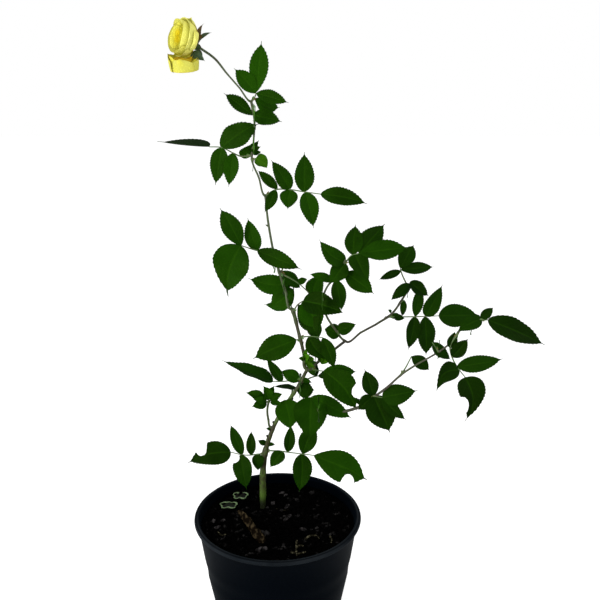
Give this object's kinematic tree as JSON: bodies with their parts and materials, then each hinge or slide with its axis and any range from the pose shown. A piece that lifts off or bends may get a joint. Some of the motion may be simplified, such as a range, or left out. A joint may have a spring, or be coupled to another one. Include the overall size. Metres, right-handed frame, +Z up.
{
  "type": "potted rose bush",
  "caption": "Young rose bush with arching side boughs, open compound foliage and a yellow double bloom, growing from compost in a round black nursery pot.",
  "frame": {"origin": "centre of the pot's flat underside", "axes": "+Z up, the front of the plant looks along -Y, the two side boughs reach towards +X"},
  "size_m": [0.4055, 0.2113, 0.7516],
  "materials": {
    "bark": "olive-brown young bark with fine lengthwise relief",
    "green_shoot": "smooth green rind of this year's growth",
    "foliage": "deep green leaflets, slightly glossy above, paler below",
    "hip": "matt green hip and sepals",
    "petals": "soft matt yellow petals, deeper at the heart",
    "pot": "satin black moulded plastic",
    "soil": "dark crumbly moist compost"
  },
  "bodies": {
    "root": {"bloom": "petals", "bloom_lower_petals": "petals", "bough_a_lower": "bark", "bough_a_upper": "bark", "bough_b_lower": "bark", "bough_b_upper": "bark", "cane_base": "bark", "cane_middle": "bark", "flower_hip": "hip", "flower_stalk": "green_shoot", "leaf_a_arch": "foliage", "leaf_a_node": "foliage", "leaf_a_small": "foliage", "leaf_a_tip": "foliage", "leaf_b_bud": "foliage", "leaf_b_cluster": "foliage", "leaf_b_hanging": "foliage", "leaf_b_middle": "foliage", "leaf_b_tip": "foliage", "leaf_back_low": "foliage", "leaf_back_middle": "foliage", "leaf_back_upper": "foliage", "leaf_behind_shoot": "foliage", "leaf_centre": "foliage", "leaf_centre_low": "foliage", "leaf_collar": "foliage", "leaf_curled": "foliage", "leaf_front_lower": "foliage", "leaf_front_upper": "foliage", "leaf_left": "foliage", "leaf_left_upper": "foliage", "leaf_low_back": "foliage", "leaf_low_front": "foliage", "leaf_low_left": "foliage", "leaf_low_right": "foliage", "leaf_middle_left": "foliage", "leaf_shoot_inner": "foliage", "leaf_top": "foliage", "leaf_twig_bend": "foliage", "leaf_twig_foot": "foliage", "leaf_twig_side": "foliage", "leaf_twig_tip": "foliage", "leaf_upper_left": "foliage", "leaf_upper_right": "foliage", "pot": "pot", "shoot_lower": "green_shoot", "shoot_upper": "green_shoot", "soil": "soil", "twig_inner": "green_shoot", "twig_low": "bark"}
  },
  "joints": []
}
